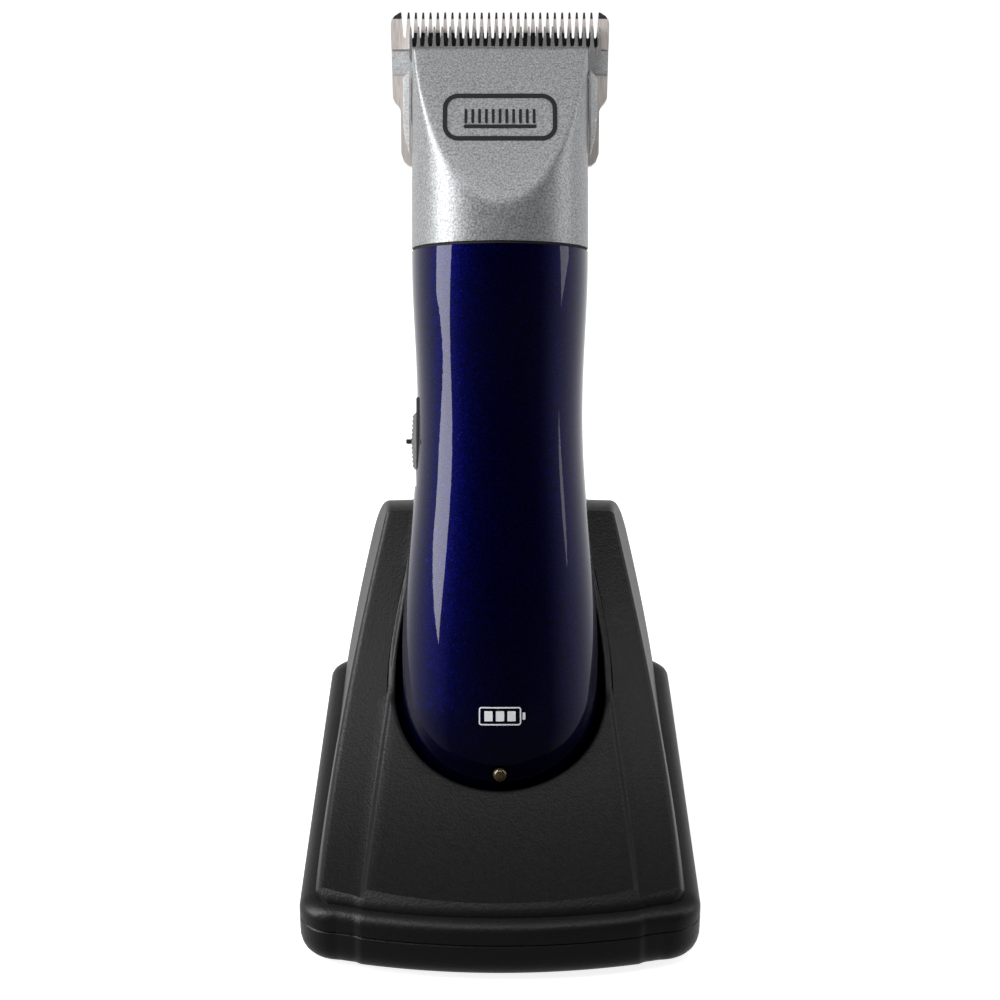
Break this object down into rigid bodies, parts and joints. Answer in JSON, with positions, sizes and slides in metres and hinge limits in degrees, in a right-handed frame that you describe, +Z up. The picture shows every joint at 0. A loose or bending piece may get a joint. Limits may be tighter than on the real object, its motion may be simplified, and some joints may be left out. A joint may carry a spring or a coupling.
{
  "type": "cordless animal clipper with charging stand",
  "caption": "Cordless animal hair clipper with a detachable toothed blade set, leaning back in the pocket of its desk charging stand.",
  "frame": {"origin": "on the desk, under the middle of the bounding box", "axes": "+Z up, +X to the right and +Y to the back as the clipper's user faces its front"},
  "size_m": [0.085, 0.1256, 0.1769],
  "materials": {
    "handle_blue": "dark blue metallic lacquer with fine flakes under a high-gloss clear coat",
    "head_silver": "satin silver lacquer with a fine metallic grain",
    "comb_steel": "ground and sandblasted blade steel",
    "cutter_steel": "bright polished blade steel",
    "stand_plastic": "black moulded plastic with a fine leather grain",
    "inner_plastic": "plain dark moulded plastic",
    "rubber": "matt black rubber",
    "led_clear": "clear amber indicator lens",
    "switch_chrome": "bright plated plastic",
    "spring_steel": "plain spring steel",
    "screw_steel": "zinc-plated steel",
    "motor_steel": "plain drawn steel",
    "circuit_board": "green solder mask",
    "cell_wrap": "printed-free shrink wrap over a metal can",
    "contact_gold": "gold-plated brass"
  },
  "bodies": {
    "stand": {"base_top": "stand_plastic", "base_tray": "stand_plastic", "foot_front_left": "rubber", "foot_front_right": "rubber", "foot_rear_left": "rubber", "foot_rear_right": "rubber", "tray_screw_front_left": "screw_steel", "tray_screw_front_right": "screw_steel", "tray_screw_rear_left": "screw_steel", "tray_screw_rear_right": "screw_steel", "contact_block": "inner_plastic", "pin_spring_left": "spring_steel", "pin_spring_right": "spring_steel", "base_board": "circuit_board", "dc_jack": "inner_plastic", "ballast_plate": "screw_steel"},
    "clipper": {"handle_front_shell": "handle_blue", "handle_rear_shell": "handle_blue", "shell_screw_upper": "screw_steel", "shell_screw_lower": "screw_steel", "led_lens": "led_clear", "handle_board": "circuit_board", "battery_cell_left": "cell_wrap", "battery_cell_right": "cell_wrap", "battery_holder": "inner_plastic", "charge_pad_left": "contact_gold", "charge_pad_right": "contact_gold", "switch_bezel": "inner_plastic", "slide_switch": "inner_plastic", "motor_can": "motor_steel", "motor_mount": "inner_plastic", "lever_pivot_pin": "screw_steel", "head_gasket": "rubber", "head_cover": "head_silver", "head_housing": "head_silver", "side_panel_left": "head_silver", "side_panel_right": "head_silver", "hinge_pin": "screw_steel", "latch_spring": "spring_steel"},
    "blade_set": {"comb_blade": "comb_steel", "blade_socket": "comb_steel", "tension_spring": "spring_steel", "blade_screw_left": "screw_steel", "blade_screw_right": "screw_steel", "hinge_tongue": "comb_steel"},
    "cutter": {"cutter_blade": "cutter_steel"},
    "lever": {"drive_lever": "inner_plastic"},
    "rotor": {"motor_shaft": "motor_steel", "cam_bearing": "screw_steel"},
    "switch": {"switch_slider": "switch_chrome"},
    "latch": {"blade_latch": "inner_plastic"},
    "pin_left": {"contact_pin_left": "contact_gold"},
    "pin_right": {"contact_pin_right": "contact_gold"}
  },
  "joints": [
    {"name": "clipper_lift", "type": "slide", "parent": "stand", "child": "clipper", "axis": [0, 0.3987, 0.9171], "range_m": [0, 0.12]},
    {"name": "blade_hinge", "type": "hinge", "parent": "clipper", "child": "blade_set", "pos_m": [0, 0.04727, 0.14228], "axis": [-1, 0, 0], "range_deg": [0, 55]},
    {"name": "lever_pivot", "type": "hinge", "parent": "clipper", "child": "lever", "pos_m": [0, 0.04166, 0.15071], "axis": [0, 0.9171, -0.3987], "range_deg": [-12.42, 0]},
    {"name": "cutter_stroke", "type": "slide", "parent": "blade_set", "child": "cutter", "axis": [1, 0, 0], "range_m": [-0.00238, 0]},
    {"name": "motor_spin", "type": "hinge", "parent": "clipper", "child": "rotor", "pos_m": [0, 0.02173, 0.10486], "axis": [0, 0.3987, 0.9171], "continuous": true},
    {"name": "switch_slide", "type": "slide", "parent": "clipper", "child": "switch", "axis": [0, 0.3987, 0.9171], "range_m": [-0.0024, 0.0024]},
    {"name": "latch_press", "type": "slide", "parent": "clipper", "child": "latch", "axis": [0, -0.9171, 0.3987], "range_m": [0, 0.0012], "stiffness_N_per_m": 400, "springref_m": -0.0005},
    {"name": "pin_left_press", "type": "slide", "parent": "stand", "child": "pin_left", "axis": [0, -0.3987, -0.9171], "range_m": [0, 0.001], "stiffness_N_per_m": 300, "springref_m": -0.0005},
    {"name": "pin_right_press", "type": "slide", "parent": "stand", "child": "pin_right", "axis": [0, -0.3987, -0.9171], "range_m": [0, 0.001], "stiffness_N_per_m": 300, "springref_m": -0.0005}
  ],
  "couplings": [
    {"joint": "lever_pivot", "follows": "cutter_stroke", "rad_per_m": 91}
  ]
}
